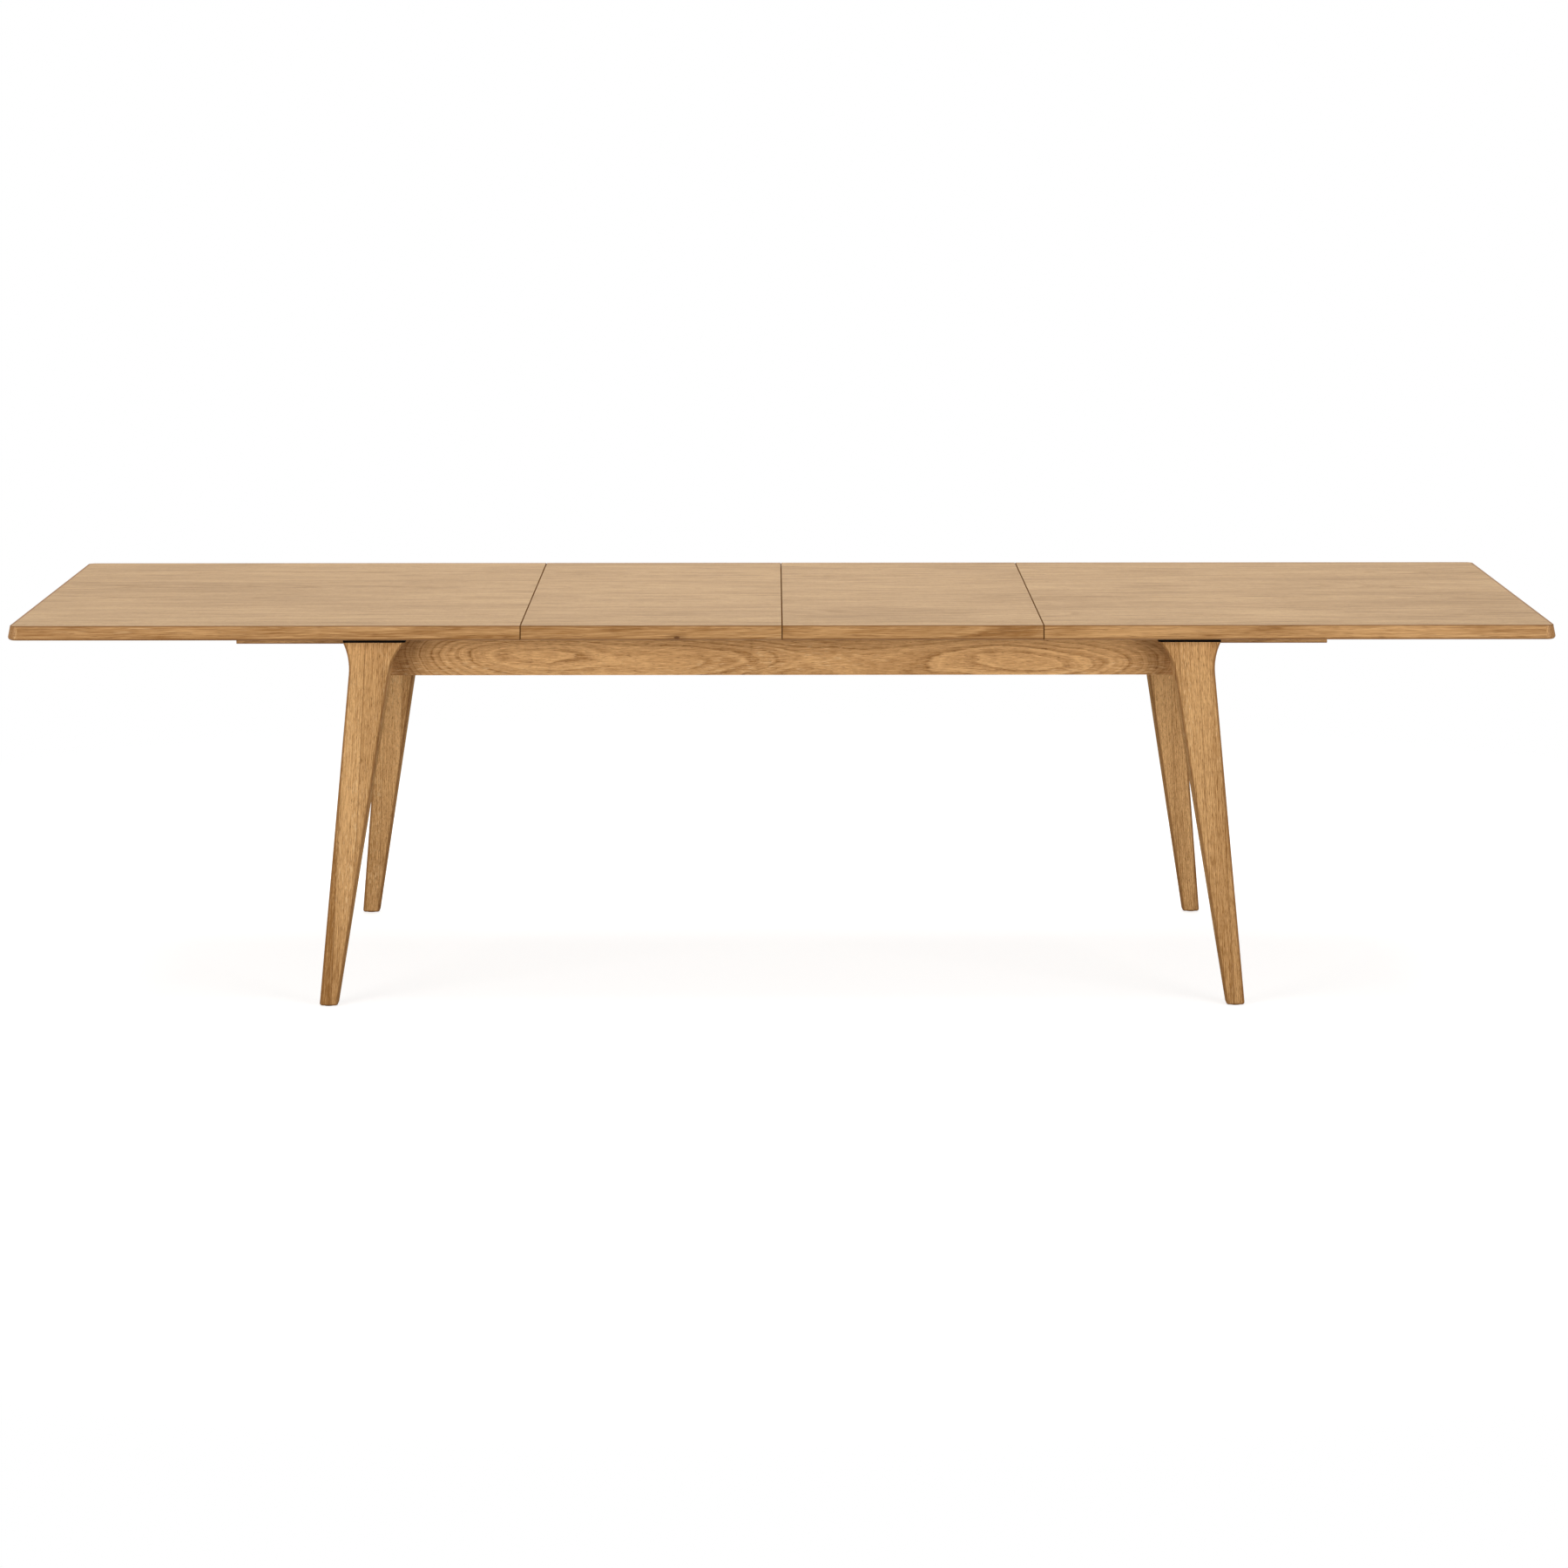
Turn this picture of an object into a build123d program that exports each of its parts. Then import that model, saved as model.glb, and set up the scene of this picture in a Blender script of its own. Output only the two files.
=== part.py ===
from build123d import *
import os
import math

os.makedirs("parts", exist_ok=True)

# Top sizes, in mm
closed_length = 1960.0
leaf_width = 500.0
depth = 1000.0
height = 750.0
top_thick = 28.0
edge_lean = 6.0
corner_radius = 20.0
under_round = 6.0
arris = 0.7
veneer_thick = 1.0
lipping_width = 20.0
seam_gap = 1.2

# Leg sizes
leg_end_inset = 134.0
leg_front_inset = 70.0
leg_top_width = 120.0
leg_top_depth = 92.0
leg_waist_width = 78.0
leg_foot_width = 35.5
leg_foot_depth = 33.0
flare_height = 62.0
flare_outer = 10.5
splay_long = 64.5
splay_front = 41.0
leg_round = 6.0
foot_round = 4.5
cap_thick = 14.0
glide_height = 1.5
glide_radius = 11.0
glide_pin_radius = 3.0
glide_pin_length = 16.0

# Frame rail sizes
apron_height = 72.0
apron_thick = 22.0
apron_setback = 60.0
rail_thick = 22.0
end_rail_offset = 34.0
cross_rail_height = 35.0
tenon_thick = 10.0
tenon_height = 20.0
apron_tenon_rise = 24.0
end_tenon_rise = 47.0
tenon_reach = 30.0
cross_tenon_length = 12.0

# Slide sizes
guide_width = 26.0
guide_height = 33.0
guide_end_gap = 2.0
tongue_height = 8.0
tongue_depth = 8.0
tongue_drop = 2.0
bearer_end_gap = 36.0
runner_width = 30.0
runner_height = 31.0
runner_length = 549.0
runner_setback = 15.0
notch_clearance = 1.0
slide_clearance = 0.4
side_clearance = 0.5
slide_travel = 40.0
stop_play = 1.0
stop_length = 36.0
stop_height = 26.0
stop_setback = 5.0

# Leaf peg sizes
peg_radius = 6.0
peg_clearance = 0.3
peg_bite = 18.0
peg_drop = 32.0
peg_lead = 1.5

# Corner bracket and fastener sizes
plate_thick = 2.5
bracket_height = 26.0
bracket_rise = 1.0
bracket_reach = 60.0
flange_length = 28.0
bolt_radius = 4.0
bolt_bite = 35.0
bolt_tail = 14.0
washer_radius = 9.0
washer_thick = 1.6
nut_across = 13.0
nut_thick = 6.5
frame_screw = (2.0, 40.0, 4.0)
runner_screw = (2.5, 45.0, 4.5)
bracket_screw = (2.0, 17.0, 3.6)
runner_screw_recess = 5.0
stop_screw_recess = 3.0
cross_slot = 0.9
guide_screw_rise = 9.0
guide_screw_end = 44.0
guide_screw_next = 204.0
guide_screw_middle = 170.0
bearer_screw_end = 50.0
bearer_screw_next = 270.0
bearer_screw_middle = 90.0

# Levels and faces that several pieces share
top_under = height - top_thick
frame_top = top_under - cap_thick
apron_bottom = frame_top - apron_height
guide_bottom = frame_top - guide_height
half_open = closed_length / 2 + leaf_width
leg_out = closed_length / 2 - leg_end_inset
leg_in = leg_out - leg_top_width
leg_front = depth / 2 - leg_front_inset
apron_out = leg_front - apron_setback
apron_in = apron_out - apron_thick
guide_in = apron_in - guide_width
runner_out = guide_in - side_clearance
runner_in = runner_out - runner_width
runner_mid_y = (runner_out + runner_in) / 2 - 6.0
guide_mid_y = (apron_in + guide_in) / 2
guide_end = leg_in - guide_end_gap
runner_start = leaf_width + runner_setback
stop_end = runner_start + stop_setback + stop_length
cross_in = stop_end + slide_travel + stop_play
end_rail_in = leg_in + end_rail_offset
sides = {"left": -1, "right": 1}
faces = {"front": -1, "back": 1}


def block(x0, x1, y0, y1, z0, z1):
    """Rectangular block between two corners."""
    size = (abs(x1 - x0), abs(y1 - y0), abs(z1 - z0))
    return Pos((x0 + x1) / 2, (y0 + y1) / 2, (z0 + z1) / 2) * Box(*size)


def quarter(shape, sx, sy):
    """Front right piece turned over into one of the four quarters."""
    if sx < 0:
        shape = mirror(shape, about=Plane.YZ)
    if sy > 0:
        shape = mirror(shape, about=Plane.XZ)
    return shape


def write(name, *solids):
    """One node, holding one solid or a group of like solids."""
    body = []
    for solid in solids:
        body.extend(solid.solids())
    export_step(body[0] if len(body) == 1 else Compound(children=body), f"parts/{name}.step")


# Screws stand on their tip and point down, with the head on top at zero
def screw_blank(size):
    radius, length, head = size
    cone = Pos(0, 0, -(head - radius) / 2) * Cone(radius, head, head - radius)
    tip = Pos(0, 0, -length + radius) * Cone(0.4, radius, 2 * radius)
    shank_length = length - 2 * radius - (head - radius)
    shank = Pos(0, 0, -(head - radius) - shank_length / 2) * Cylinder(radius, shank_length)
    return cone + shank + tip


def screw(size):
    radius, length, head = size
    arm = block(-head * 0.55, head * 0.55, -cross_slot / 2, cross_slot / 2, -1.2, 1)
    return screw_blank(size) - arm - Rot(0, 0, 90) * arm


# Whole top, before the seams are cut
def top_blank():
    lean = math.atan(edge_lean / top_thick)
    rounded_off = under_round * (math.tan(lean) + 1 / math.cos(lean) - 1)
    length = 2 * (half_open + rounded_off)
    plan = Pos(0, 0, top_under) * RectangleRounded(length, depth + 2 * rounded_off, corner_radius)
    blank = extrude(plan, top_thick, taper=math.degrees(lean))
    blank = fillet(blank.faces().sort_by(Axis.Z)[0].edges(), under_round)
    return fillet(blank.faces().sort_by(Axis.Z)[-1].edges(), arris)


# Core board, three or two lippings and the face veneer of one panel
def panel(blank, x0, x1, end_lipping, seams):
    far = depth
    far_x0 = x0 - 10 if end_lipping < 0 else x0
    far_x1 = x1 + 10 if end_lipping > 0 else x1
    piece = blank & block(far_x0, far_x1, -far, far, 0, 2 * height)
    face = height - veneer_thick
    veneer = piece & block(x0, x1, -far, far, face, 2 * height)
    side = arris * math.sqrt(2)
    for x in seams:
        veneer -= Pos(x, 0, height) * Rot(0, 45, 0) * Box(side, 2 * far, side)
    body = piece & block(x0, x1, -far, far, 0, face)
    result = {"veneer": veneer}
    c0 = x0
    c1 = x1
    if end_lipping < 0:
        c0 = x0 + lipping_width
        result["lipping_end"] = body & block(x0, c0, -far, far, 0, face)
    if end_lipping > 0:
        c1 = x1 - lipping_width
        result["lipping_end"] = body & block(c1, x1, -far, far, 0, face)
    core_y = depth / 2 - lipping_width
    result["lipping_front"] = body & block(c0, c1, -far, -core_y, 0, face)
    result["lipping_back"] = body & block(c0, c1, core_y, far, 0, face)
    result["core"] = body & block(c0, c1, -core_y, core_y, 0, face)
    return result


# Front right leg: a flared outline seen from the front, a plain taper seen from the end
def leg_blank():
    waist = frame_top - flare_height
    waist_out = leg_out - flare_outer
    waist_in = waist_out - leg_waist_width
    foot_out = waist_out + splay_long
    foot_in = foot_out - leg_foot_width
    rise = waist - glide_height
    outline = Line((leg_in, frame_top), (leg_out, frame_top))
    outline += TangentArc((waist_out, waist), (leg_out, frame_top), tangent=(waist_out - foot_out, rise))
    outline += Line((waist_out, waist), (foot_out, glide_height))
    outline += Line((foot_out, glide_height), (foot_in, glide_height))
    outline += Line((foot_in, glide_height), (waist_in, waist))
    outline += TangentArc((waist_in, waist), (leg_in, frame_top), tangent=(waist_in - foot_in, rise))
    front_view = extrude(make_face(Plane.XZ * outline), depth, both=True)
    foot_front = -leg_front - splay_front
    corners = [(-leg_front, frame_top), (-leg_front + leg_top_depth, frame_top)]
    corners += [(foot_front + leg_foot_depth, glide_height), (foot_front, glide_height)]
    end_view = extrude(make_face(Plane.YZ * Polyline(*corners, close=True)), closed_length, both=True)
    leg = front_view & end_view
    long_edges = leg.edges().filter_by(lambda e: e.bounding_box().size.Z > flare_height / 2)
    leg = fillet(long_edges, leg_round)
    return fillet(leg.faces().sort_by(Axis.Z)[0].edges(), foot_round)


def leg_foot_centre():
    x = leg_out - flare_outer + splay_long - leg_foot_width / 2
    y = -leg_front - splay_front + leg_foot_depth / 2
    return x, y


def apron_tenon():
    mid = -(apron_out + apron_in) / 2
    z0 = apron_bottom + apron_tenon_rise
    x1 = end_rail_in + tenon_reach
    return block(leg_in - 20, x1, mid - tenon_thick / 2, mid + tenon_thick / 2, z0, z0 + tenon_height)


def end_tenon():
    mid = end_rail_in + rail_thick / 2
    z0 = apron_bottom + end_tenon_rise
    y1 = -apron_in - tenon_reach
    return block(mid - tenon_thick / 2, mid + tenon_thick / 2, y1, -guide_in, z0, z0 + tenon_height)


# Corner bracket in plan: two flanges on the rails and a plate across the corner
def corner_bracket():
    x = end_rail_in
    y = -apron_in
    t = plate_thick
    turn = t * (math.sqrt(2) - 1)
    r = bracket_reach
    f = flange_length
    points = [(x - r - f, y), (x - r, y), (x, y + r), (x, y + r + f)]
    points += [(x - t, y + r + f), (x - t, y + r + turn), (x - r - turn, y + t), (x - r - f, y + t)]
    z = apron_bottom + bracket_rise
    return extrude(Pos(0, 0, z) * make_face(Polyline(*points, close=True)), bracket_height, dir=(0, 0, 1))


# Line of the leg bolt: starts at the plate's middle and points into the leg
def bolt_line():
    middle = (end_rail_in - bracket_reach / 2, -apron_in + bracket_reach / 2)
    z = apron_bottom + bracket_rise + bracket_height / 2
    return Plane(origin=(*middle, z), x_dir=(0, 0, 1), z_dir=(1, -1, 0))


def leg_bolt():
    reach = bracket_reach / math.sqrt(2) + bolt_bite
    length = reach + bolt_tail
    return bolt_line() * Pos(0, 0, reach - length / 2) * Cylinder(bolt_radius, length)


def leg_washer():
    ring = Cylinder(washer_radius, washer_thick) - Cylinder(bolt_radius, washer_thick)
    return bolt_line() * Pos(0, 0, -plate_thick - washer_thick / 2) * ring


def leg_nut():
    hexagon = RegularPolygon(nut_across / 2, 6, major_radius=False)
    nut = extrude(hexagon, nut_thick) - Pos(0, 0, nut_thick / 2) * Cylinder(bolt_radius, nut_thick)
    return bolt_line() * Pos(0, 0, -plate_thick - washer_thick - nut_thick) * nut


# Places of the bracket screws: two in each flange, heads on the inner side
def bracket_screw_places():
    places = []
    middle = bracket_reach + flange_length / 2
    for step in (-7.0, 7.0):
        z = apron_bottom + bracket_rise + bracket_height / 2 + step
        places.append(Pos(end_rail_in - middle, -apron_in + plate_thick, z) * Rot(-90, 0, 0))
        places.append(Pos(end_rail_in - plate_thick, -apron_in + middle, z) * Rot(0, -90, 0))
    return places


def cap_screw_places():
    mid_x = (leg_in + leg_out) / 2
    y = -leg_front + leg_top_depth * 0.45
    return [Pos(mid_x + dx, y, top_under - 0.5) for dx in (-30.0, 30.0)]


def guide_screw_places(sy):
    turn = Rot(-90, 0, 0) if sy < 0 else Rot(90, 0, 0)
    z = guide_bottom + guide_screw_rise
    xs = [guide_end - guide_screw_end, guide_end - guide_screw_next, guide_screw_middle]
    return [Pos(sx * x, sy * guide_in, z) * turn for x in xs for sx in sides.values()]


def bearer_screw_places(sy):
    bearer_end = leg_in - bearer_end_gap
    xs = [bearer_end - bearer_screw_end, bearer_end - bearer_screw_next, bearer_screw_middle]
    return [Pos(sx * x, sy * guide_mid_y, top_under - 1.0) for x in xs for sx in sides.values()]


def runner_screw_places(sx, sy):
    z = top_under - runner_height + runner_screw_recess
    xs = [runner_start + d for d in (75.0, 215.0, 355.0, 495.0)]
    return [Pos(sx * x, sy * runner_mid_y, z) * Rot(180, 0, 0) for x in xs]


def stop_screw_places(sx, sy):
    z = top_under - runner_height - stop_height + stop_screw_recess
    xs = [runner_start + stop_setback + d for d in (9.0, stop_length - 9.0)]
    return [Pos(sx * x, sy * runner_mid_y, z) * Rot(180, 0, 0) for x in xs]


def leaf_peg_place(sx, sy):
    return Pos(sx * leaf_width / 2, sy * guide_mid_y, top_under)


# Head recess below a runner or stop screw
def recess(place, size, length):
    return place * Pos(0, 0, length / 2) * Cylinder(size[2] + 0.3, length)


# Legs, caps, glides and the fasteners at the four corners
bolts = []
washers = []
nuts = []
bracket_screws = []
glides = []
frame_screws = []
blank_leg = leg_blank()
cap_blank = extrude(blank_leg.faces().sort_by(Axis.Z)[-1], cap_thick)
foot_x, foot_y = leg_foot_centre()
disc = Pos(foot_x, foot_y, glide_height / 2) * Cylinder(glide_radius, glide_height)
disc = fillet(disc.edges().sort_by(Axis.Z)[0], 0.8)
pin = Pos(foot_x, foot_y, glide_height + glide_pin_length / 2) * Cylinder(glide_pin_radius, glide_pin_length)
leg = blank_leg - apron_tenon() - end_tenon() - leg_bolt() - pin
cap = cap_blank
for place in cap_screw_places():
    leg -= place * screw_blank(frame_screw)
    cap -= place * screw_blank(frame_screw)
    cap -= place * Pos(0, 0, 0.25) * Cylinder(frame_screw[2], 0.5)
bracket = corner_bracket() - leg_bolt()
for place in bracket_screw_places():
    bracket -= place * screw_blank(bracket_screw)
for front, sy in faces.items():
    for side, sx in sides.items():
        write(f"leg_{front}_{side}", quarter(leg, sx, sy))
        write(f"leg_cap_{front}_{side}", quarter(cap, sx, sy))
        write(f"corner_bracket_{front}_{side}", quarter(bracket, sx, sy))
        bolts.append(quarter(leg_bolt(), sx, sy))
        washers.append(quarter(leg_washer(), sx, sy))
        nuts.append(quarter(leg_nut(), sx, sy))
        glides.append(quarter(disc + pin, sx, sy))
        for place in bracket_screw_places():
            bracket_screws.append(quarter(place * screw(bracket_screw), sx, sy))
        for place in cap_screw_places():
            frame_screws.append(quarter(place * screw(frame_screw), sx, sy))
write("leg_bolts", *bolts)
write("leg_washers", *washers)
write("leg_nuts", *nuts)
write("bracket_screws", *bracket_screws)
write("foot_glides", *glides)

# Long aprons, coped to the legs and tenoned into them
cross_middles = {"left": -cross_in - rail_thick / 2, "middle": 0.0, "right": cross_in + rail_thick / 2}
cross_tenon_z = guide_bottom - cross_rail_height + (cross_rail_height - tenon_height) / 2
for front, sy in faces.items():
    apron = block(-end_rail_in, end_rail_in, sy * apron_out, sy * apron_in, apron_bottom, frame_top)
    for sx in sides.values():
        apron -= quarter(blank_leg, sx, sy)
        apron += quarter(apron_tenon() - block(0, leg_in - 10, -depth, 0, 0, height), sx, sy)
        apron -= quarter(leg_bolt(), sx, sy)
        for place in bracket_screw_places():
            apron -= quarter(place * screw_blank(bracket_screw), sx, sy)
    for mid in cross_middles.values():
        y0 = sy * apron_in
        y1 = sy * (apron_in + cross_tenon_length)
        z1 = cross_tenon_z + tenon_height
        apron -= block(mid - tenon_thick / 2, mid + tenon_thick / 2, y0, y1, cross_tenon_z, z1)
    for place in guide_screw_places(sy):
        apron -= place * screw_blank(frame_screw)
    write(f"apron_{front}", apron)

# End rails, notched so that the runners pass through
for side, sx in sides.items():
    y = apron_out
    rail = block(sx * end_rail_in, sx * (end_rail_in + rail_thick), -y, y, apron_bottom, frame_top)
    for sy in faces.values():
        rail -= quarter(blank_leg, sx, sy)
        rail += quarter(end_tenon() & block(0, closed_length, -depth, -apron_in + 20, 0, height), sx, sy)
        notch_y0 = sy * (runner_out + notch_clearance)
        notch_y1 = sy * (runner_in - notch_clearance)
        notch_z = top_under - runner_height - notch_clearance
        rail -= block(0, sx * closed_length, notch_y0, notch_y1, notch_z, height)
        rail -= quarter(leg_bolt(), sx, sy)
        for place in bracket_screw_places():
            rail -= quarter(place * screw_blank(bracket_screw), sx, sy)
    write(f"end_rail_{side}", rail)

# Cross rails under the guides
for name, mid in cross_middles.items():
    z0 = guide_bottom - cross_rail_height
    rail = block(mid - rail_thick / 2, mid + rail_thick / 2, -apron_in, apron_in, z0, guide_bottom)
    long = apron_in + cross_tenon_length
    z1 = cross_tenon_z + tenon_height
    rail += block(mid - tenon_thick / 2, mid + tenon_thick / 2, -long, long, cross_tenon_z, z1)
    write(f"cross_rail_{name}", rail)

# Tongued guides on the aprons, and the bearer strips that carry the leaves
for front, sy in faces.items():
    guide = block(-guide_end, guide_end, sy * apron_in, sy * guide_in, guide_bottom, frame_top)
    tongue_z = frame_top - tongue_drop
    tongue_y = sy * (guide_in - tongue_depth)
    guide += block(-guide_end, guide_end, sy * guide_in, tongue_y, tongue_z - tongue_height, tongue_z)
    bearer_end = leg_in - bearer_end_gap
    bearer = block(-bearer_end, bearer_end, sy * apron_in, sy * guide_in, frame_top, top_under)
    for sx in sides.values():
        hole = leaf_peg_place(sx, sy) * Pos(0, 0, -height / 2) * Cylinder(peg_radius + peg_clearance, height)
        guide -= hole
        bearer -= hole
    for place in bearer_screw_places(sy):
        guide -= place * screw_blank(frame_screw)
        bearer -= place * screw_blank(frame_screw)
        bearer -= place * Pos(0, 0, 0.5) * Cylinder(frame_screw[2], 1.0)
        frame_screws.append(place * screw(frame_screw))
    for place in guide_screw_places(sy):
        guide -= place * screw_blank(frame_screw)
        frame_screws.append(place * screw(frame_screw))
    write(f"guide_{front}", guide)
    write(f"bearer_{front}", bearer)
write("frame_screws", *frame_screws)

# Two sliding tops with their grooved runners, stops and screws
blank_top = top_blank()
for side, sx in sides.items():
    inner = sx * (leaf_width + seam_gap / 2)
    outer = sx * half_open
    pieces = panel(blank_top, min(inner, outer), max(inner, outer), sx, [inner])
    screws = []
    stops = []
    for front, sy in faces.items():
        x0 = sx * runner_start
        x1 = sx * (runner_start + runner_length)
        z0 = top_under - runner_height
        runner = block(x0, x1, sy * runner_out, sy * runner_in, z0, top_under)
        groove_z1 = frame_top - tongue_drop + slide_clearance
        groove_z0 = frame_top - tongue_drop - tongue_height - slide_clearance
        groove_y = sy * (guide_in - tongue_depth - side_clearance)
        runner -= block(x0, x1, sy * (runner_out + 1), groove_y, groove_z0, groove_z1)
        runner = chamfer(runner.edges().filter_by(Axis.X).group_by(Axis.Z)[0], 2.0)
        s0 = sx * (runner_start + stop_setback)
        stop = block(s0, sx * stop_end, sy * (runner_out - 2), sy * (runner_in + 2), z0 - stop_height, z0)
        for place in runner_screw_places(sx, sy):
            runner -= place * screw_blank(runner_screw)
            runner -= recess(place, runner_screw, runner_screw_recess)
            pieces["core"] -= place * screw_blank(runner_screw)
            screws.append(place * screw(runner_screw))
        for place in stop_screw_places(sx, sy):
            runner -= place * screw_blank(runner_screw)
            stop -= place * screw_blank(runner_screw)
            stop -= recess(place, runner_screw, stop_screw_recess)
            screws.append(place * screw(runner_screw))
        write(f"runner_{side}_{front}", runner)
        stops.append(stop)
    write(f"stops_{side}", *stops)
    write(f"runner_screws_{side}", *screws)
    for piece, shape in pieces.items():
        write(f"top_{side}_{piece}", shape)

# Two loose leaves with their locating pegs
for side, sx in sides.items():
    inner = sx * seam_gap / 2
    outer = sx * (leaf_width - seam_gap / 2)
    pieces = panel(blank_top, min(inner, outer), max(inner, outer), 0, [inner, outer])
    pegs = []
    for sy in faces.values():
        length = peg_bite + peg_drop
        peg = Pos(0, 0, peg_bite - length / 2) * Cylinder(peg_radius, length)
        pieces["core"] -= leaf_peg_place(sx, sy) * peg
        peg = chamfer(peg.edges().sort_by(Axis.Z)[0], peg_lead)
        pegs.append(leaf_peg_place(sx, sy) * peg)
    write(f"leaf_{side}_pegs", *pegs)
    for piece, shape in pieces.items():
        write(f"leaf_{side}_{piece}", shape)
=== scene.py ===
import math

import bmesh
import bpy
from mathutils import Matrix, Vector


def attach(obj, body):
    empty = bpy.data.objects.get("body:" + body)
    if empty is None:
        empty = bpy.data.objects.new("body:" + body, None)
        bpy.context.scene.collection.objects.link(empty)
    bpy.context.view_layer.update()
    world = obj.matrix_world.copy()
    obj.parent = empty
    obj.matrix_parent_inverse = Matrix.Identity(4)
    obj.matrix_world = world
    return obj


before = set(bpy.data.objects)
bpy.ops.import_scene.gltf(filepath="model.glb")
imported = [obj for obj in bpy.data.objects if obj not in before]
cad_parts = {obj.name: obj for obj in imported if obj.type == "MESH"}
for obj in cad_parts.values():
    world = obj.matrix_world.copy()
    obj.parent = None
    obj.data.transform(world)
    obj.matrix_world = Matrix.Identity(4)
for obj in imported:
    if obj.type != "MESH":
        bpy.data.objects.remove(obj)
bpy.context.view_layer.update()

bl_info = {
    "name": "Extendable oak dining table",
    "version": (1, 0, 0),
    "blender": (4, 5, 0),
    "location": "3D View > Sidebar > Oak table",
    "description": "Finishes and stage for an extendable oak dining table",
    "category": "Object",
}

SIDES = {"left": -1, "right": 1}
FACES = {"front": -1, "back": 1}

# Grain directions of a piece: along, across and into the wood
ALONG_X = ((1, 0, 0), (0, 0, 1), (0, 1, 0))
ALONG_X_FLAT = ((1, 0, 0), (0, 1, 0), (0, 0, 1))
ALONG_Y = ((0, 1, 0), (0, 0, 1), (1, 0, 0))
UPRIGHT = ((0, 0, 1), (1, 0, 0), (0, 1, 0))

# Places on the table that the finishes line up with, in metres
TOP_HEIGHT = 0.75
HALF_LENGTH = 1.48
HALF_DEPTH = 0.5
LEAF_WIDTH = 0.5
EDGE_MIDDLE = 0.735
GLUE_LINE = 0.749
APRON_MIDDLE = 0.672
APRON_FACE = 0.37
APRON_LENGTH = 1.53
END_RAIL_FACE = 0.77
RUNNER_MIDDLE = 0.70
RUNNER_FACE = 0.3
LEG_FACE = 0.40
LEG_LEAN = (0.0586, 0.058)
KNOT_PLACE = (-0.201, -0.5, 0.7275)

# Seed and shade of the staves of each leg
LEG_STAVES = {
    ("front", "left"): (21.0, 0.35),
    ("front", "right"): (22.0, 0.36),
    ("back", "left"): (23.0, 0.30),
    ("back", "right"): (58.0, 0.41),
}

# Noise scales a metre along, across and into the wood
SLOW_BEND = (1.9, 7.0, 7.0)
QUICK_BEND = (14.0, 60.0, 60.0)
FRAYED_LINES = (30.0, 420.0, 420.0)
RING_STREAKS = (1.0, 520.0, 1.0)
RING_TONE = (2.0, 34.0, 1.0)
SHORT_PORES = (120.0, 760.0, 760.0)
LONG_PORES = (60.0, 1500.0, 1500.0)
FIBRES = (45.0, 480.0, 480.0)
FLECKS = (75.0, 330.0, 90.0)
FLECK_PATCHES = (3.0, 16.0, 16.0)
VENEER_CLOUDS = (7.0, 120.0, 120.0)
VENEER_DASHES = (4.5, 75.0, 75.0)
BEECH_TICKS = (170.0, 1300.0, 1300.0)
BEECH_THREADS = (6.0, 260.0, 260.0)

# Noise scales a metre on the other materials
SAND = (900.0, 900.0, 900.0)
SCUFFS = (60.0, 160.0, 60.0)
MATTED_FIBRES = (1400.0, 1400.0, 1400.0)
ZINC_CLOUDS = (70.0, 70.0, 70.0)
DRAWN_LINES = (40.0, 900.0, 900.0)

# Growth rings: how far slow and quick bends wander, how sharp the lines are, and the length of a swirl
SLOW_WANDER = 2.0
QUICK_WANDER = 0.13
LINE_SHARPNESS = 2.6
LINE_START = 0.14
SWIRL_LENGTH = 0.09

# Most that a stave or veneer leaf is moved within the trunk, and where the glue line beside it fades
STRIP_MOVES = (7.0, 0.05, 0.03)
STRIP_JOINT = (0.0002, 0.0009)

# Distances in metres between which marks on the oak fade in or out
END_RIM = (1.4700, 1.4722)
SIDE_RIM = (0.4895, 0.4930)
# Painted shadow of the legs on the aprons: where it starts and where it is full towards their ends
APRON_SHADE_ENDS = (0.62, 0.75)
# Painted shade on the legs: darker towards the floor, up to this height
FLOOR_SHADE_REACH = 0.55
KNOT_CORE = (0.0015, 0.005)
KNOT_HALO = (0.004, 0.013)
UNDER_GLUE = (0.0016, 0.0004)
# Painted shade beside the seams: where it is full and where it has faded out
SEAM_EDGE = 0.0009
SEAM_REACH = 0.0018

# Strengths of those marks, and the squeeze along X that draws the knot out
RIM_STRENGTH = 0.80
HALO_STRENGTH = 0.4
GLUE_STRENGTH = 0.55
SEAM_SHADE_STRENGTH = 0.75
CLOUD_STRENGTH = 1.2
DASH_STRENGTH = 0.50
KNOT_SQUEEZE = (0.5, 1.0, 1.0)

# How far a face looks to the side where strips stop showing, and how far away where the shine goes
STRIP_TURN = (0.3, 0.8)
SHINE_TURN = (0.45, 0.85)

# Strengths of the grain in solid oak and in the face veneer and of the darkened edges, with painted shade and
# darker oil, softness of the edges and depth of the relief
SOLID = {
    "line": 0.75, "streak": 1.5, "tone": 0.8, "thread": 1.7, "pore": 1.1, "fleck": 0.50,
    "strip": 0.60, "joint": 0.45, "edge": 0.60, "softness": 0.55, "relief": 0.0002,
}
VENEER = {
    "line": 0.60, "streak": 0.9, "tone": 1.2, "thread": 1.2, "pore": 0.8, "fleck": 0.2,
    "strip": 0.12, "joint": 0.25, "edge": 0.70, "softness": 0.8, "relief": 0.00012,
}

# Dark strips in the seams that stand in for their shade: the outline across the depth and height, and the fixed
# face beside the seam's middle
SHADE_FELT_OUTLINE = (
    (-0.4945, 0.7245), (0.4945, 0.7245), (0.4925, 0.7470),
    (0.4915, 0.7485), (-0.4915, 0.7485), (-0.4925, 0.7470),
)
SHADE_FELT_BESIDE = 0.00058

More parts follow.
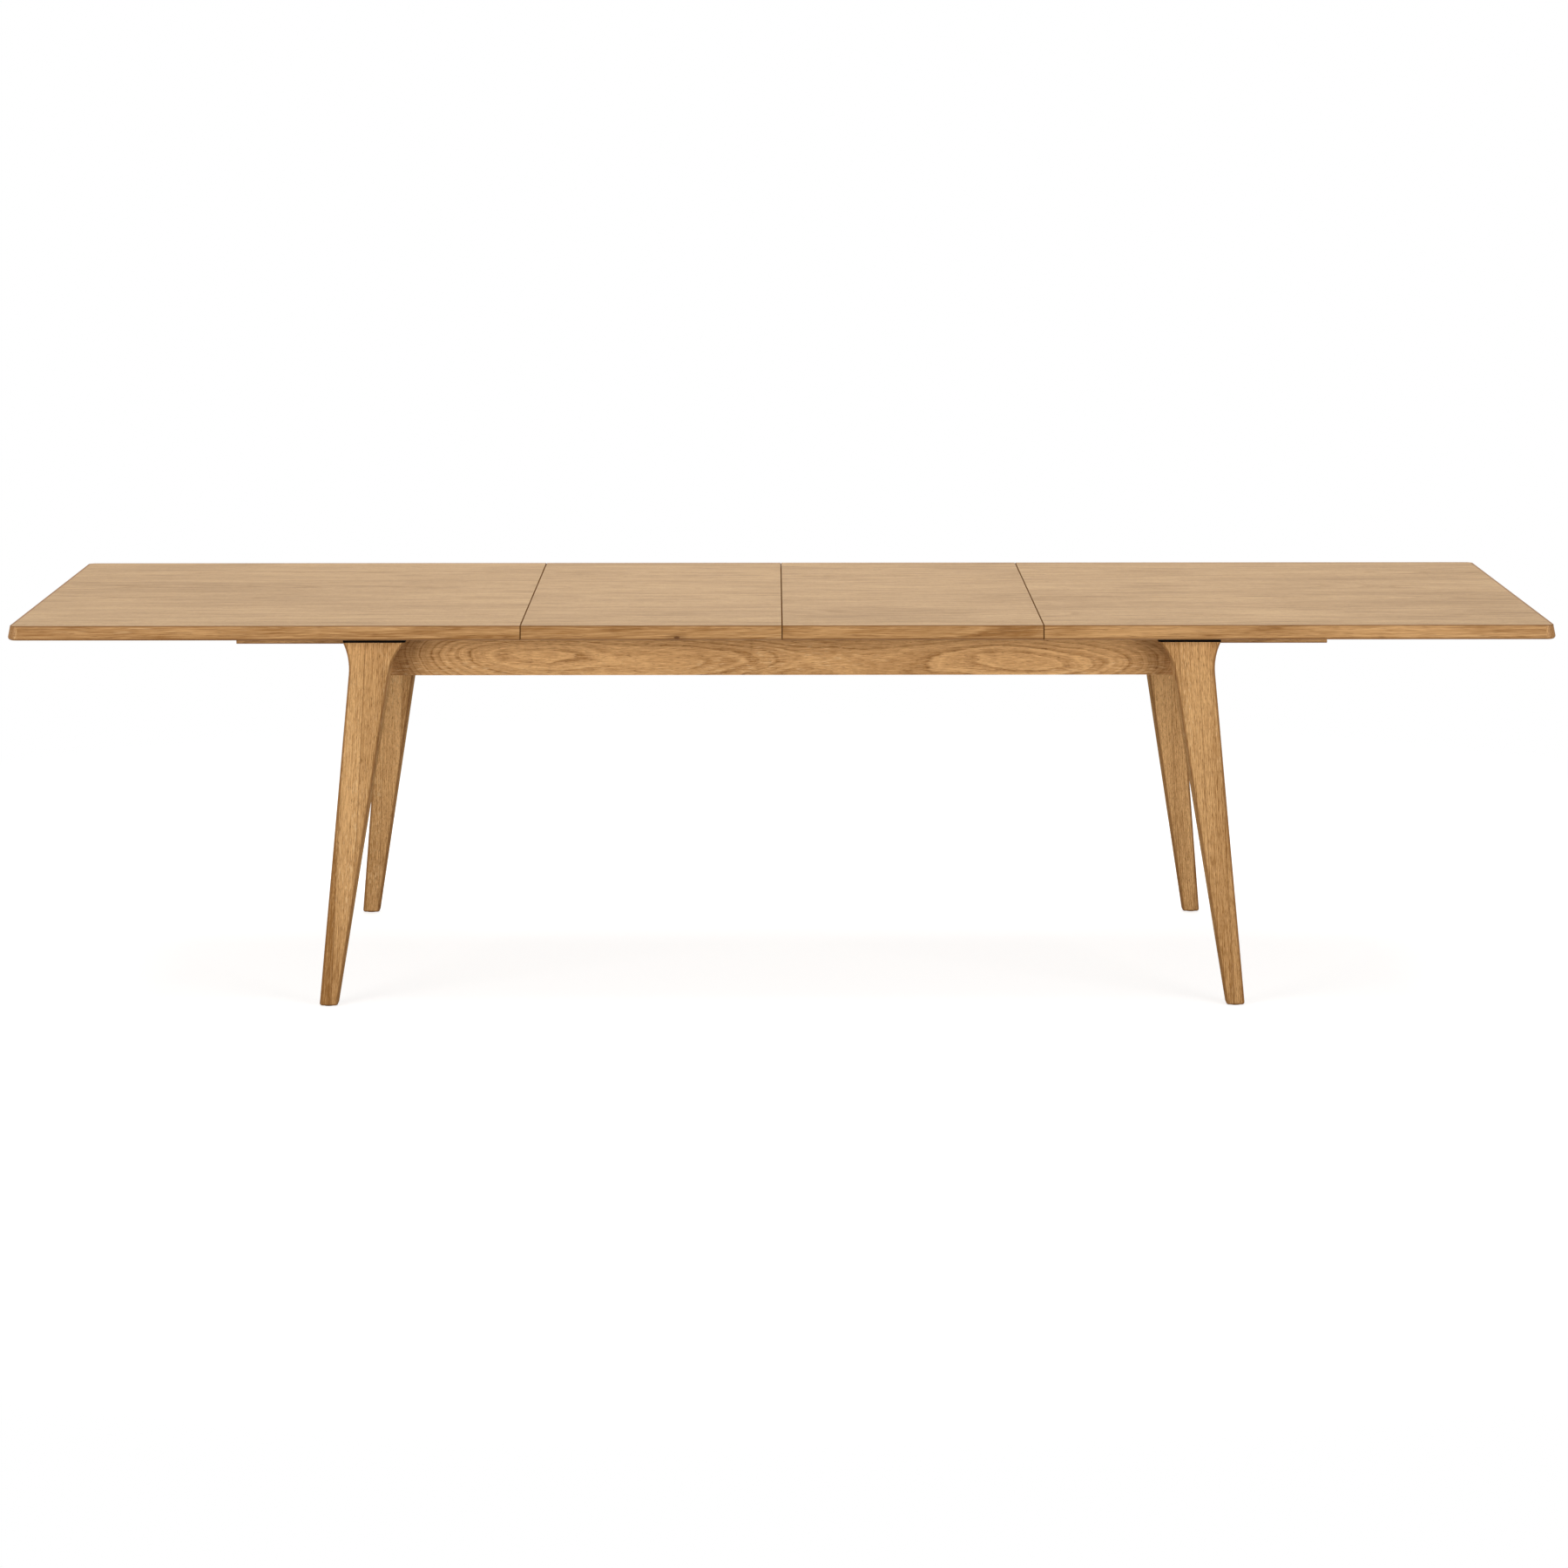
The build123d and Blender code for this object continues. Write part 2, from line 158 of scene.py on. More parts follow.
# Dark strips of painted seam shade: the body each rides on, the middle of its seam and the side that it is
# fixed to
SEAM_SHADE_STRIPS = {
    "seam_strip_left": ("top_left", -LEAF_WIDTH, -1),
    "seam_strip_middle": ("leaf_left", 0.0, -1),
    "seam_strip_right": ("top_right", LEAF_WIDTH, 1),
}

# Floor: half its width, and the distances from the middle between which it fades to plain white
FLOOR_REACH = 30.0
FLOOR_FADE = (1.6, 3.2)

# Lights: the setting with the power, the place, the size, the tint, and whether reflections show it
WHITE = (1.0, 1.0, 1.0)
LIGHT_TARGET = (0.0, 0.0, 0.6)
LIGHTS = {
    "Key light": ("key", (-4.4, -4.8, 1.4), (3.0, 2.2), (1.0, 0.99, 0.97), True),
    "Fill light": ("fill", (4.4, -4.8, 1.4), (3.0, 2.2), WHITE, True),
    "Back light": ("back", (0.0, 6.0, 1.8), (5.0, 2.0), WHITE, False),
    "Overhead light": ("overhead", (0.0, 0.6, 5.0), (6.0, 4.0), WHITE, True),
}

FLOAT = "NodeSocketFloat"
VECTOR = "NodeSocketVector"


def colour(name, description, default):
    return bpy.props.FloatVectorProperty(
        name=name, description=description, default=default, subtype="COLOR", min=0.0, max=1.0, size=3
    )


def length(name, description, default):
    return bpy.props.FloatProperty(
        name=name, description=description, default=default, unit="LENGTH", min=0.0, precision=4
    )


def amount(name, description, default, most=1.0):
    return bpy.props.FloatProperty(name=name, description=description, default=default, min=0.0, max=most)


def angle(name, description, degrees):
    return bpy.props.FloatProperty(
        name=name, description=description, default=math.radians(degrees), subtype="ANGLE"
    )


class OakSettings(bpy.types.PropertyGroup):
    """Colours and grain of the solid oak and the face veneer."""

    pale: colour("Pale oak", "Lightest wood between the ring lines", (0.685, 0.400, 0.172))
    deep: colour("Deep oak", "Porous spring wood of the ring lines", (0.270, 0.122, 0.034))
    pore: colour("Pore", "Open pores and the darkest streaks", (0.120, 0.050, 0.015))
    # Edge colour: darker oil together with painted shade on the rounded edges
    edge: colour("Oiled and shaded edge", "Darker oil and painted shade on the rounded edges", (0.215, 0.092, 0.026))
    fleck: colour("Ray fleck", "Light flecks where the rays are cut", (0.74, 0.49, 0.25))
    veneer_pale: colour("Pale veneer", "Light parts of the face veneer", (0.515, 0.333, 0.168))
    veneer_deep: colour("Deep veneer", "Ring lines of the face veneer", (0.320, 0.192, 0.086))
    ring: length("Ring width", "Width of one growth ring", 0.0048)
    stave: length("Stave width", "Width of the staves that the legs are glued from", 0.036)
    veneer_leaf: length("Veneer leaf width", "Width of the veneer leaves laid side by side", 0.215)
    roughness: amount("Roughness", "Roughness of the oiled solid oak", 0.46)
    shine: amount("Shine", "Strength of the soft shine of the oiled solid oak", 0.14)
    leg_shine: amount("Leg shine", "Strength of the soft shine of the oiled legs", 0.03)
    veneer_shine: amount("Veneer shine", "Strength of the soft shine of the oiled veneer", 0.24)
    veneer_roughness: amount("Veneer roughness", "Roughness of the oiled face veneer", 0.60)


class UnderSettings(bpy.types.PropertyGroup):
    """Colours of the hidden pieces under the top, the black caps and the dark strips that stand in for the
    shade in the seams.
    """

    beech: colour("Beech", "Planed beech of guides, bearers and cross rails", (0.60, 0.385, 0.225))
    beech_fleck: colour("Beech fleck", "Short dark flecks in the beech", (0.40, 0.22, 0.115))
    board: colour("Backing veneer", "Underside of the tops and leaves", (0.56, 0.36, 0.19))
    board_deep: colour("Backing veneer lines", "Grain lines of the underside", (0.43, 0.26, 0.125))
    # Black cap colour: black plastic, made nearly lightless as painted shade of the recess under the top
    black: colour("Black cap", "Black strips on the leg tops", (0.004, 0.0035, 0.003))
    zinc: colour("Zinc", "Plated screws, bolts and brackets", (0.66, 0.66, 0.65))
    nylon: colour("Nylon", "Foot glides", (0.17, 0.11, 0.065))
    # Colour of the strips in the seams, dark as painted shade of the gaps
    shade_felt: colour("Shade felt", "Brown felt in the seams", (0.15, 0.066, 0.018))
    shade_felt_thick: length("Felt thickness", "Thickness of the felt in the seams", 0.0009)


class StageSettings(bpy.types.PropertyGroup):
    """Floor, light and camera."""

    floor: colour("Floor", "Colour of the floor", (0.50, 0.50, 0.50))
    floor_lift: amount("Floor lift", "Plain white added to the floor as the camera sees it", 0.76)
    world: amount("Surrounding light", "Strength of the even light from all round", 0.31)
    key: amount("Key light", "Power of the large light in front on the left in watts", 192.0, 5000.0)
    fill: amount("Fill light", "Power of the large light in front on the right in watts", 180.0, 5000.0)
    overhead: amount("Overhead light", "Power of the soft light above the top in watts", 200.0, 5000.0)
    back: amount("Back light", "Power of the soft light behind the table in watts", 80.0, 5000.0)
    lens: bpy.props.FloatProperty(name="Lens", description="Focal length", default=98.97, unit="CAMERA")
    pitch: angle("Tilt", "How far the camera looks down", 9.881)
    turn: angle("Turn", "How far the camera looks to the right", 0.170)
    roll: angle("Roll", "How far the camera leans to the right", 0.03)
    eye: bpy.props.FloatVectorProperty(
        name="Camera place",
        description="Where the camera stands",
        default=(-0.020, -8.654, 1.864),
        subtype="XYZ",
    )


# Small helpers that lay out shader nodes
def feed(tree, socket, source):
    if isinstance(source, bpy.types.NodeSocket):
        tree.links.new(source, socket)
    else:
        socket.default_value = source


def calc(tree, operation, *sources):
    node = tree.nodes.new("ShaderNodeMath")
    node.operation = operation
    for socket, source in zip(node.inputs, sources):
        feed(tree, socket, source)
    return node.outputs[0]


def centred(tree, source):
    return calc(tree, "SUBTRACT", source, 0.5)


def vector(tree, operation, *sources):
    node = tree.nodes.new("ShaderNodeVectorMath")
    node.operation = operation
    for socket, source in zip(node.inputs, sources):
        feed(tree, socket, source)
    return node.outputs["Value" if operation in {"DOT_PRODUCT", "LENGTH"} else "Vector"]


def combine(tree, x, y, z):
    node = tree.nodes.new("ShaderNodeCombineXYZ")
    for socket, source in zip(node.inputs, (x, y, z)):
        feed(tree, socket, source)
    return node.outputs[0]


def split(tree, source):
    node = tree.nodes.new("ShaderNodeSeparateXYZ")
    feed(tree, node.inputs[0], source)
    return node.outputs[0], node.outputs[1], node.outputs[2]


def coordinate(tree, kind):
    return tree.nodes.new("ShaderNodeTexCoord").outputs[kind]


def position(tree, axis):
    """Place on a piece along one axis of the table."""
    return split(tree, coordinate(tree, "Object"))["XYZ".index(axis)]


def noise(tree, place, stretch, detail=2.0, roughness=0.5):
    node = tree.nodes.new("ShaderNodeTexNoise")
    feed(tree, node.inputs["Vector"], vector(tree, "MULTIPLY", place, stretch))
    node.inputs["Scale"].default_value = 1.0
    node.inputs["Detail"].default_value = detail
    node.inputs["Roughness"].default_value = roughness
    return node.outputs[0]


def random_value(tree, place):
    node = tree.nodes.new("ShaderNodeTexWhiteNoise")
    node.noise_dimensions = "3D"
    feed(tree, node.inputs["Vector"], place)
    return node.outputs["Value"], node.outputs["Color"]


def fade(tree, source, low, high, to_low=0.0, to_high=1.0, smooth=True):
    node = tree.nodes.new("ShaderNodeMapRange")
    node.interpolation_type = "SMOOTHSTEP" if smooth else "LINEAR"
    for socket, value in zip(node.inputs, (source, low, high, to_low, to_high)):
        feed(tree, socket, value)
    return node.outputs[0]


def opaque(value):
    return (value[0], value[1], value[2], 1.0)


def mix(tree, share, first, second):
    node = tree.nodes.new("ShaderNodeMix")
    node.data_type = "RGBA"
    feed(tree, node.inputs[0], share)
    feed(tree, node.inputs[6], first)
    feed(tree, node.inputs[7], second)
    return node.outputs[2]


def tint(tree, body, mask, strength, value):
    """Lays a colour over the body where the mask is."""
    return mix(tree, calc(tree, "MULTIPLY", mask, strength), body, opaque(value))


def group(name, inputs, outputs):
    """New shader node group with named sockets; gives the tree and its input and output nodes."""
    tree = bpy.data.node_groups.new(name, "ShaderNodeTree")
    for label, kind, default in inputs:
        socket = tree.interface.new_socket(label, in_out="INPUT", socket_type=kind)
        socket.default_value = default
    for label, kind in outputs:
        tree.interface.new_socket(label, in_out="OUTPUT", socket_type=kind)
    start = tree.nodes.new("NodeGroupInput")
    end = tree.nodes.new("NodeGroupOutput")
    return tree, start, end


def use(tree, name, **sources):
    """Places a node group in a tree, with its inputs fed by name."""
    node = tree.nodes.new("ShaderNodeGroup")
    node.node_tree = bpy.data.node_groups[name]
    for label, source in sources.items():
        feed(tree, node.inputs[label.replace("_", " ")], source)
    return node.outputs


def grain_place_group():
    """Turns a place on a piece into grain directions: along, across and into the wood."""
    inputs = [
        ("Along", VECTOR, (1, 0, 0)),
        ("Across", VECTOR, (0, 1, 0)),
        ("Into", VECTOR, (0, 0, 1)),
        ("Shift", VECTOR, (0, 0, 0)),
    ]
    tree, start, end = group("Grain place", inputs, [("Vector", VECTOR)])
    place = coordinate(tree, "Object")
    turned = [vector(tree, "DOT_PRODUCT", place, start.outputs[label]) for label in ("Along", "Across", "Into")]
    feed(tree, end.inputs["Vector"], vector(tree, "ADD", combine(tree, *turned), start.outputs["Shift"]))


def glued_strips_group():
    """Staves or veneer leaves side by side: each has its own place in the trunk, a tone and a glue line."""
    inputs = [("Vector", VECTOR, (0, 0, 0)), ("Width", FLOAT, 0.036), ("Seed", FLOAT, 0.0)]
    outputs = [("Vector", VECTOR), ("Tone", FLOAT), ("Joint", FLOAT)]
    tree, start, end = group("Glued strips", inputs, outputs)
    along, across, into = split(tree, start.outputs["Vector"])
    count = calc(tree, "DIVIDE", across, start.outputs["Width"])
    index = calc(tree, "FLOOR", count)
    within = centred(tree, calc(tree, "FRACT", count))
    tone, shift = random_value(tree, combine(tree, index, start.outputs["Seed"], 3.7))
    moved = vector(tree, "MULTIPLY", vector(tree, "SUBTRACT", shift, (0.5, 0.5, 0.5)), STRIP_MOVES)
    beside = calc(tree, "MULTIPLY", within, start.outputs["Width"])
    feed(tree, end.inputs["Vector"], vector(tree, "ADD", combine(tree, along, beside, into), moved))
    feed(tree, end.inputs["Tone"], tone)
    inward = calc(tree, "SUBTRACT", 0.5, calc(tree, "ABSOLUTE", within))
    edge = calc(tree, "MULTIPLY", inward, start.outputs["Width"])
    feed(tree, end.inputs["Joint"], fade(tree, edge, *STRIP_JOINT, 1.0, 0.0))


def growth_rings_group():
    """Growth rings of a trunk, cut by the surface: arches where the cut runs flat, lines where square."""
    inputs = [
        ("Vector", VECTOR, (0, 0, 0)),
        ("Ring", FLOAT, 0.005),
        ("Pith depth", FLOAT, 0.06),
        ("Pith side", FLOAT, 0.0),
        ("Lean", FLOAT, 0.03),
        ("Wander", FLOAT, 0.012),
        ("Streaks a metre", FLOAT, 11.0),
        ("Swirl", FLOAT, 0.0),
        ("Piece length", FLOAT, 100.0),
    ]
    tree, start, end = group("Growth rings", inputs, [("Rings", FLOAT), ("Streaks", FLOAT), ("Tone", FLOAT)])
    place = start.outputs["Vector"]
    wander = start.outputs["Wander"]
    along, across, into = split(tree, place)

    # The trunk bends, and swirls towards the ends of the piece
    slow = centred(tree, noise(tree, place, SLOW_BEND, 1.0))
    quick = centred(tree, noise(tree, place, QUICK_BEND))
    bend = calc(tree, "MULTIPLY", slow, calc(tree, "MULTIPLY", wander, SLOW_WANDER))
    ripple = calc(tree, "MULTIPLY", quick, calc(tree, "MULTIPLY", wander, QUICK_WANDER))
    bend = calc(tree, "ADD", bend, ripple)
    rise = calc(tree, "ADD", start.outputs["Pith depth"], calc(tree, "MULTIPLY", along, start.outputs["Lean"]))
    nearer = calc(tree, "MINIMUM", along, calc(tree, "SUBTRACT", start.outputs["Piece length"], along))
    curl = calc(tree, "EXPONENT", calc(tree, "MULTIPLY", nearer, -1.0 / SWIRL_LENGTH))
    rise = calc(tree, "ADD", rise, calc(tree, "MULTIPLY", curl, start.outputs["Swirl"]))
    height = calc(tree, "ADD", calc(tree, "ADD", into, rise), bend)
    width = calc(tree, "ADD", calc(tree, "SUBTRACT", across, start.outputs["Pith side"]), bend)
    reach = vector(tree, "LENGTH", combine(tree, width, height, 0.0))

    # Each ring starts with a dark line of its own strength, frayed along the grain
    rings = calc(tree, "DIVIDE", reach, start.outputs["Ring"])
    part = calc(tree, "FRACT", rings)
    spring = calc(tree, "POWER", calc(tree, "SUBTRACT", 1.0, part), LINE_SHARPNESS)
    year, _ = random_value(tree, combine(tree, calc(tree, "FLOOR", rings), 1.3, 0.0))
    strength = fade(tree, year, 0.0, 1.0, 0.25, 1.0, False)
    fray = fade(tree, noise(tree, place, FRAYED_LINES), 0.30, 0.62, 0.35, 1.0)
    line = calc(tree, "MULTIPLY", calc(tree, "MULTIPLY", spring, fade(tree, part, 0.0, LINE_START)), strength)
    feed(tree, end.inputs["Rings"], calc(tree, "MULTIPLY", line, fray))

    # Streaks and slow changes of tone follow the rings
    drawn = combine(tree, calc(tree, "MULTIPLY", along, start.outputs["Streaks a metre"]), reach, 0.0)
    feed(tree, end.inputs["Streaks"], noise(tree, drawn, RING_STREAKS, 4.0, 0.70))
    trunk = combine(tree, along, reach, 0.0)
    feed(tree, end.inputs["Tone"], noise(tree, trunk, RING_TONE))


def fine_grain_group():
    """Pores, fibres and ray flecks drawn out along the grain."""
    inputs = [("Vector", VECTOR, (0, 0, 0)), ("Rings", FLOAT, 0.0)]
    tree, start, end = group("Fine grain", inputs, [("Pores", FLOAT), ("Fibres", FLOAT), ("Flecks", FLOAT)])
    place = start.outputs["Vector"]
    short = fade(tree, noise(tree, place, SHORT_PORES, 1.0), 0.56, 0.74)
    long = fade(tree, noise(tree, place, LONG_PORES, 1.0), 0.55, 0.70)
    both = calc(tree, "MAXIMUM", short, calc(tree, "MULTIPLY", long, 0.8))
    clump = calc(tree, "ADD", 0.42, calc(tree, "MULTIPLY", start.outputs["Rings"], 0.9))
    feed(tree, end.inputs["Pores"], calc(tree, "MULTIPLY", both, clump))
    feed(tree, end.inputs["Fibres"], noise(tree, place, FIBRES, 3.0, 0.68))
    fleck = fade(tree, noise(tree, place, FLECKS, 1.0), 0.54, 0.72)
    patch = fade(tree, noise(tree, place, FLECK_PATCHES, 1.0), 0.48, 0.66)
    feed(tree, end.inputs["Flecks"], calc(tree, "MULTIPLY", fleck, patch))


def rounded_edges_group():
    """Mask of the rounded edges, where the surface turns from one face to the next."""
    tree, start, end = group("Rounded edges", [("Softness", FLOAT, 0.9)], [("Mask", FLOAT)])
    turned = coordinate(tree, "Normal")
    x, y, z = split(tree, vector(tree, "MULTIPLY", turned, turned))
    flat = calc(tree, "MULTIPLY", x, y)
    pairs = calc(tree, "ADD", flat, calc(tree, "MULTIPLY", z, calc(tree, "ADD", x, y)))
    mask = fade(tree, calc(tree, "MULTIPLY", pairs, 4.0), 0.06, start.outputs["Softness"])
    feed(tree, end.inputs["Mask"], mask)


def painted_seam_shade_group():
    """Mask of the painted shade on either side of the three seams across the top."""
    tree, start, end = group("Seam stain", [("Reach", FLOAT, SEAM_REACH)], [("Mask", FLOAT)])
    away = position(tree, "X")
    for _ in range(2):  # Folds the length over, until the three seams lie at zero
        away = calc(tree, "SUBTRACT", calc(tree, "ABSOLUTE", away), LEAF_WIDTH / 2)
    away = calc(tree, "ABSOLUTE", away)
    feed(tree, end.inputs["Mask"], fade(tree, away, SEAM_EDGE, start.outputs["Reach"], 1.0, 0.0))


# Materials
def new_material(name):
    material = bpy.data.materials.new(name)
    material.use_nodes = True
    tree = material.node_tree
    shader = tree.nodes["Principled BSDF"]
    return material, tree, shader


def bump(tree, shader, height, distance, strength):
    node = tree.nodes.new("ShaderNodeBump")
    node.inputs["Strength"].default_value = strength
    node.inputs["Distance"].default_value = distance
    feed(tree, node.inputs["Height"], height)
    feed(tree, shader.inputs["Normal"], node.outputs[0])


def grain_place(tree, axes, shift):
    return use(tree, "Grain place", Along=axes[0], Across=axes[1], Into=axes[2], Shift=shift)["Vector"]


def rim_mask(tree):
    """Mask of the rim round the whole top."""
    ends = fade(tree, calc(tree, "ABSOLUTE", position(tree, "X")), *END_RIM)
    sides = fade(tree, calc(tree, "ABSOLUTE", position(tree, "Y")), *SIDE_RIM)
    return calc(tree, "MAXIMUM", ends, sides)


def knot_mask(tree, knot):
    """Mask of a small knot with a soft halo, drawn out along the table."""
    apart = vector(tree, "SUBTRACT", coordinate(tree, "Object"), knot)
    away = vector(tree, "LENGTH", vector(tree, "MULTIPLY", apart, KNOT_SQUEEZE))
    core = fade(tree, away, *KNOT_CORE, 1.0, 0.0)
    halo = fade(tree, away, *KNOT_HALO, HALO_STRENGTH, 0.0)
    return calc(tree, "MAXIMUM", core, halo)


def oak(
    name, axes, shift, cut, wander=0.012, ring=None, streaks=11.0, swirl=0.0, draw=1.0, strips=None, seed=0.0,
    shade=0.40, foot=0.0, ends=0.0, veneer=False, glue=0.0, knot=None, shine=None,
):
    """Oiled oak: growth rings, streaks, pores, fibres and flecks.

    axes are the directions along, across and into the wood, and shift is the place within the trunk.
    cut is the pith behind the face: its depth, its shift to the side and its lean along the piece.
    wander, ring, streaks and swirl shape the growth rings, and draw below one draws the fine grain out.
    strips is the width of staves or veneer leaves, and seed picks their tones.
    shade is the tone from pale to deep; foot and ends add painted shade to it, towards the floor on the legs
    and towards an apron's ends beside the legs.
    glue is the height of the glue line under the veneer, and knot the place of a small knot.
    """
    settings = bpy.context.scene.oak_table_oak
    look = VENEER if veneer else SOLID
    pale, deep = (settings.veneer_pale, settings.veneer_deep) if veneer else (settings.pale, settings.deep)
    rough = settings.veneer_roughness if veneer else settings.roughness
    gloss = settings.veneer_shine if veneer else shine or settings.shine
    material, tree, shader = new_material(name)
    place = grain_place(tree, axes, shift)
    if strips:
        strip = use(tree, "Glued strips", Vector=place, Width=strips, Seed=seed)
        place = strip["Vector"]
    rings = use(
        tree, "Growth rings", Vector=place, Ring=ring or settings.ring, Pith_depth=cut[0], Pith_side=cut[1],
        Lean=cut[2], Wander=wander, Streaks_a_metre=streaks, Swirl=swirl, Piece_length=APRON_LENGTH,
    )
    drawn = vector(tree, "MULTIPLY", place, (draw, 1.0, 1.0))
    fine = use(tree, "Fine grain", Vector=drawn, Rings=rings["Rings"])

    # Share of the deep tone
    share = calc(tree, "MULTIPLY_ADD", rings["Rings"], look["line"], shade - 0.10 * look["line"])
    for source, key in ((rings["Streaks"], "streak"), (rings["Tone"], "tone"), (fine["Fibres"], "thread")):
        share = calc(tree, "MULTIPLY_ADD", centred(tree, source), look[key], share)
    if veneer:
        cloud = centred(tree, noise(tree, place, VENEER_CLOUDS, 4.0, 0.65))
        share = calc(tree, "MULTIPLY_ADD", cloud, CLOUD_STRENGTH, share)
        dash = fade(tree, noise(tree, place, VENEER_DASHES), 0.58, 0.66)
        share = calc(tree, "MULTIPLY_ADD", dash, DASH_STRENGTH, share)
    if strips:
        turned = vector(tree, "DOT_PRODUCT", coordinate(tree, "Normal"), axes[1])
        square = fade(tree, calc(tree, "ABSOLUTE", turned), *STRIP_TURN, 1.0, 0.0)
        tone = calc(tree, "MULTIPLY", centred(tree, strip["Tone"]), square)
        share = calc(tree, "MULTIPLY_ADD", tone, look["strip"], share)
    # Painted shade: darker towards the floor
    if foot:
        floor_shade_part = fade(tree, position(tree, "Z"), 0.0, FLOOR_SHADE_REACH, foot, 0.0, False)
        share = calc(tree, "ADD", share, floor_shade_part)
    # Painted shadow of the legs: darker towards an apron's ends
    if ends:
        leg_shadow_part = fade(tree, calc(tree, "ABSOLUTE", position(tree, "X")), *APRON_SHADE_ENDS, 0.0, ends)
        share = calc(tree, "ADD", share, leg_shadow_part)
    share = fade(tree, share, 0.0, 1.0, 0.0, 1.0, False)

    # Colour, and the marks laid over it
    body = mix(tree, share, opaque(pale), opaque(deep))
    body = tint(tree, body, fine["Flecks"], look["fleck"], settings.fleck)
    body = tint(tree, body, fine["Pores"], look["pore"], settings.pore)
    if strips:
        body = tint(tree, body, calc(tree, "MULTIPLY", strip["Joint"], square), look["joint"], settings.pore)
    # Rounded edges turn darker: painted shade where the surface turns away from the light, together with darker
    # oil
    edge = use(tree, "Rounded edges", Softness=look["softness"])["Mask"]
    body = tint(tree, body, edge, look["edge"], settings.edge)
    # Painted shade darkens the wood beside the seams
    if glue or veneer:
        painted_seam_shade = use(tree, "Seam stain", Reach=SEAM_REACH)["Mask"]
        body = tint(tree, body, painted_seam_shade, SEAM_SHADE_STRENGTH, settings.pore)
    if veneer:
        body = tint(tree, body, rim_mask(tree), RIM_STRENGTH, settings.edge)
    if knot:
        body = mix(tree, knot_mask(tree, knot), body, opaque(settings.pore))
    if glue:
        low, high = (glue - under for under in UNDER_GLUE)
        line = fade(tree, position(tree, "Z"), low, high, 0.0, GLUE_STRENGTH)
        body = mix(tree, line, body, opaque(settings.pore))
    feed(tree, shader.inputs["Base Color"], body)

    # Shine goes where the seams have painted shade, and on legs, rails and runners where the surface turns away
    if glue or veneer:
        gloss = fade(tree, painted_seam_shade, 0.0, 1.0, gloss, 0.0, False)
    else:
        facing = tree.nodes.new("ShaderNodeLayerWeight").outputs["Facing"]
        gloss = fade(tree, facing, *SHINE_TURN, gloss, 0.0, False)
    feed(tree, shader.inputs["Specular IOR Level"], gloss)
    dull = calc(tree, "MULTIPLY_ADD", rings["Rings"], 0.10, rough - 0.06)
    feed(tree, shader.inputs["Roughness"], calc(tree, "MULTIPLY_ADD", fine["Fibres"], 0.12, dull))
    relief = calc(tree, "MULTIPLY_ADD", fine["Pores"], -1.0, calc(tree, "MULTIPLY", fine["Fibres"], 0.35))
    relief = calc(tree, "MULTIPLY_ADD", rings["Rings"], -0.25, relief)
    bump(tree, shader, relief, look["relief"], 0.5)
    return material


def face_veneer(name, along, across, seed):
    """Oak veneer on the face of a top or leaf, in veneer leaves side by side."""
    return oak(
        name, ALONG_X_FLAT, (along, across, -TOP_HEIGHT), (0.085, 0.0, 0.014), wander=0.02, ring=0.0062,
        strips=bpy.context.scene.oak_table_oak.veneer_leaf, seed=seed, shade=0.42, veneer=True,
    )


def long_lipping(name, along, sy, cut, wander, shade, knot=None):
    """Oak lipping on a front or back edge, with its grain drawn out."""
    return oak(
        name, ALONG_X, (along, -EDGE_MIDDLE, -HALF_DEPTH * sy), cut, wander=wander, ring=0.0036,
        streaks=3.0, draw=0.3, shade=shade, glue=GLUE_LINE, knot=knot,
    )


def board(name):
    """Plain backing veneer on the underside of the tops and leaves."""
    settings = bpy.context.scene.oak_table_under
    material, tree, shader = new_material(name)
    place = grain_place(tree, ALONG_X_FLAT, (4.0, 0.13, 0.2))
    place = use(tree, "Glued strips", Vector=place, Width=0.25, Seed=11.0)["Vector"]
    rings = use(tree, "Growth rings", Vector=place, Ring=0.006, Pith_depth=0.09, Lean=0.02, Wander=0.02)
    fine = use(tree, "Fine grain", Vector=place, Rings=rings["Rings"])
    lines = calc(tree, "MULTIPLY", rings["Rings"], 0.6)
    share = calc(tree, "ADD", lines, calc(tree, "MULTIPLY", fine["Fibres"], 0.4))
    body = mix(tree, share, opaque(settings.board), opaque(settings.board_deep))
    body = tint(tree, body, fine["Pores"], 0.3, settings.beech_fleck)
    feed(tree, shader.inputs["Base Color"], body)
    feed(tree, shader.inputs["Roughness"], fade(tree, fine["Fibres"], 0.2, 0.8, 0.55, 0.72, False))
    bump(tree, shader, fine["Fibres"], 0.0001, 0.4)
    return material


def beech(name, axes):
    """Planed beech: pinkish ground with short dark flecks along the grain."""
    settings = bpy.context.scene.oak_table_under
    material, tree, shader = new_material(name)
    place = grain_place(tree, axes, (1.7, 0.4, 0.9))
    rings = use(tree, "Growth rings", Vector=place, Ring=0.007, Pith_depth=0.11, Lean=0.02, Wander=0.012)
    tick = fade(tree, noise(tree, place, BEECH_TICKS, 0.0), 0.60, 0.70)
    thread = noise(tree, place, BEECH_THREADS, 3.0)
    lines = calc(tree, "MULTIPLY", rings["Rings"], 0.28)
    share = calc(tree, "ADD", lines, calc(tree, "MULTIPLY", thread, 0.30))
    body = mix(tree, share, opaque(settings.beech), opaque(settings.beech_fleck))
    body = tint(tree, body, tick, 0.55, settings.beech_fleck)
    feed(tree, shader.inputs["Base Color"], body)
    feed(tree, shader.inputs["Roughness"], fade(tree, thread, 0.2, 0.8, 0.50, 0.66, False))
    bump(tree, shader, thread, 0.0001, 0.35)
    return material


